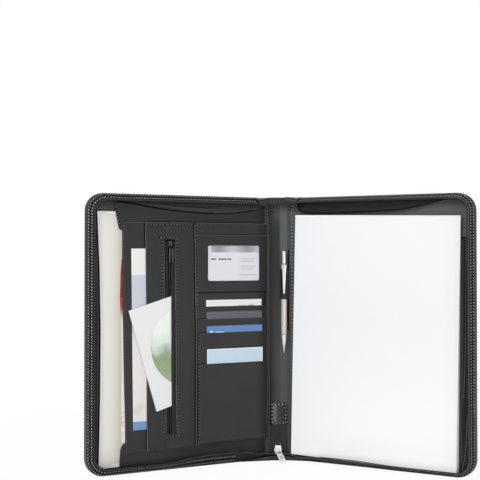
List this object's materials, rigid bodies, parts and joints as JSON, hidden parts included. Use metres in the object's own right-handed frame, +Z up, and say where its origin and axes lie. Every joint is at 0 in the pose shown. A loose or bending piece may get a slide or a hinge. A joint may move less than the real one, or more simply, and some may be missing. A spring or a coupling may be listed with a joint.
{
  "type": "personal organizer",
  "caption": "Zip-around conference organizer for A4 paper, standing open, with pad, pen, document pocket, zipped pocket, card slots and identity window.",
  "frame": {"origin": "middle of the spine's foot, on the surface that the organizer stands on", "axes": "+X along the open book towards the pad, +Y away from the reader, +Z up along the spine"},
  "size_m": [0.4514, 0.1264, 0.327],
  "materials": {
    "leatherette": "fine grained black leatherette, satin",
    "padded_cloth": "slate grey cloth with a fine diagonal weave, padded",
    "lining_cloth": "dark grey smooth lining",
    "gusset_cloth": "black ribbed gusset cloth",
    "greyboard": "bare grey board",
    "zip_tape": "black woven tape",
    "zip_teeth": "black moulded coil",
    "bright_metal": "polished silver",
    "dark_metal": "glossy black lacquer",
    "pen_pearl": "pearl silver lacquer",
    "white_paper": "white writing paper",
    "document_paper": "slightly warm white paper",
    "leaflet_paper": "orange-red printed paper",
    "brochure_paper": "pale coated paper with soft colour areas",
    "sleeve_paper": "off-white paper",
    "disc_plastic": "printed disc with pale green areas",
    "clear_film": "clear soft plastic film",
    "id_card_stock": "pale card with a grey band and plain bars",
    "card_white": "white plastic card",
    "card_violet": "grey-violet plastic card",
    "card_blue": "mid blue plastic card",
    "card_pale_blue": "pale blue plastic card with a white rim"
  },
  "bodies": {
    "spine": {"spine_lining": "lining_cloth", "spine_board": "greyboard", "spine_skin": "leatherette", "spine_foot_band": "gusset_cloth", "spine_top_band": "gusset_cloth", "zip_tail": "zip_tape", "zip_end_patch": "leatherette", "pen_loop": "leatherette"},
    "main_slider": {"main_slider": "bright_metal"},
    "main_pull": {"main_pull": "bright_metal"},
    "pen": {"pen_barrel": "pen_pearl", "pen_tip": "bright_metal", "pen_clip": "bright_metal"},
    "pen_button": {"pen_button": "bright_metal"},
    "front_cover": {"front_board": "greyboard", "front_lining": "lining_cloth", "front_edge_band": "leatherette", "front_zip_tape": "zip_tape", "front_zip_teeth": "zip_teeth", "front_skin_hinge_panel": "leatherette", "front_skin_cloth_panel": "padded_cloth", "front_skin_edge_panel": "leatherette", "pocket_panel": "leatherette", "front_gusset_fold": "gusset_cloth", "organizer_panel": "leatherette", "zip_pocket_left": "leatherette", "zip_pocket_right": "leatherette", "pocket_zip_left": "zip_tape", "pocket_zip_right": "zip_tape", "card_panel": "leatherette", "id_window_film": "clear_film", "id_window_frame": "leatherette", "card_slot_1": "leatherette", "card_slot_2": "leatherette", "card_slot_3": "leatherette", "card_slot_4": "leatherette"},
    "documents": {"document_sheaf": "document_paper"},
    "leaflet": {"printed_leaflet": "leaflet_paper"},
    "brochure": {"brochure": "brochure_paper"},
    "disc_sleeve": {"disc_sleeve": "sleeve_paper"},
    "disc": {"disc": "disc_plastic"},
    "pocket_slider": {"pocket_slider": "dark_metal"},
    "pocket_pull": {"pocket_pull": "dark_metal"},
    "id_card": {"id_card": "id_card_stock"},
    "card_1": {"card_1": "card_white"},
    "card_2": {"card_2": "card_violet"},
    "card_3": {"card_3": "card_blue"},
    "card_4": {"card_4": "card_pale_blue"},
    "back_cover": {"back_board": "greyboard", "back_lining": "lining_cloth", "back_edge_band": "leatherette", "back_zip_tape": "zip_tape", "back_zip_teeth": "zip_teeth", "back_skin": "leatherette", "pad_pocket_panel": "leatherette", "back_gusset_fold": "gusset_cloth"},
    "pad": {"pad_backing": "greyboard", "pad_sheets": "white_paper", "pad_gum_strip": "white_paper"}
  },
  "joints": [
    {"name": "front_cover_hinge", "type": "hinge", "parent": "spine", "child": "front_cover", "pos_m": [-0.016, 0, 0], "axis": [0, 0, -1], "range_deg": [-62, 28]},
    {"name": "back_cover_hinge", "type": "hinge", "parent": "spine", "child": "back_cover", "pos_m": [0.016, 0, 0], "axis": [0, 0, 1], "range_deg": [-62, 28]},
    {"name": "pad_slide", "type": "slide", "parent": "back_cover", "child": "pad", "axis": [0.0185, -0.0098, 0.9998], "range_m": [0, 0.015]},
    {"name": "pen_slide", "type": "slide", "parent": "spine", "child": "pen", "axis": [0, 0, 1], "range_m": [0, 0.055]},
    {"name": "pen_button_press", "type": "slide", "parent": "pen", "child": "pen_button", "axis": [0, 0, -1], "range_m": [0, 0.0035], "stiffness_N_per_m": 250},
    {"name": "main_slider_run", "type": "slide", "parent": "spine", "child": "main_slider", "axis": [0, 0, 1], "range_m": [0, 0.024]},
    {"name": "main_pull_swing", "type": "hinge", "parent": "main_slider", "child": "main_pull", "pos_m": [0, -0.006, 0.0106], "axis": [-0.9659, -0.2588, 0], "range_deg": [0, 90]},
    {"name": "document_slide", "type": "slide", "parent": "front_cover", "child": "documents", "axis": [0, 0, 1], "range_m": [0, 0.014]},
    {"name": "leaflet_slide", "type": "slide", "parent": "front_cover", "child": "leaflet", "axis": [0, 0, 1], "range_m": [0, 0.04]},
    {"name": "brochure_slide", "type": "slide", "parent": "front_cover", "child": "brochure", "axis": [-0.8829, -0.4695, 0], "range_m": [0, 0.04]},
    {"name": "sleeve_slide", "type": "slide", "parent": "front_cover", "child": "disc_sleeve", "axis": [-0.8829, -0.4695, 0], "range_m": [0, 0.035]},
    {"name": "disc_slide", "type": "slide", "parent": "disc_sleeve", "child": "disc", "axis": [0.8466, 0.4501, 0.284], "range_m": [0, 0.02]},
    {"name": "pocket_slider_run", "type": "slide", "parent": "front_cover", "child": "pocket_slider", "axis": [0, 0, -1], "range_m": [0, 0.03]},
    {"name": "pocket_pull_swing", "type": "hinge", "parent": "pocket_slider", "child": "pocket_pull", "pos_m": [-0.12807, -0.06911, 0.2642], "axis": [-0.8829, -0.4695, 0], "range_deg": [0, 120]},
    {"name": "id_card_slide", "type": "slide", "parent": "front_cover", "child": "id_card", "axis": [0, 0, 1], "range_m": [0, 0.025]},
    {"name": "card_1_slide", "type": "slide", "parent": "front_cover", "child": "card_1", "axis": [0, 0, 1], "range_m": [0, 0.015]},
    {"name": "card_2_slide", "type": "slide", "parent": "front_cover", "child": "card_2", "axis": [0, 0, 1], "range_m": [0, 0.02]},
    {"name": "card_3_slide", "type": "slide", "parent": "front_cover", "child": "card_3", "axis": [0, 0, 1], "range_m": [0, 0.04]},
    {"name": "card_4_slide", "type": "slide", "parent": "front_cover", "child": "card_4", "axis": [0, 0, 1], "range_m": [0, 0.04]}
  ]
}
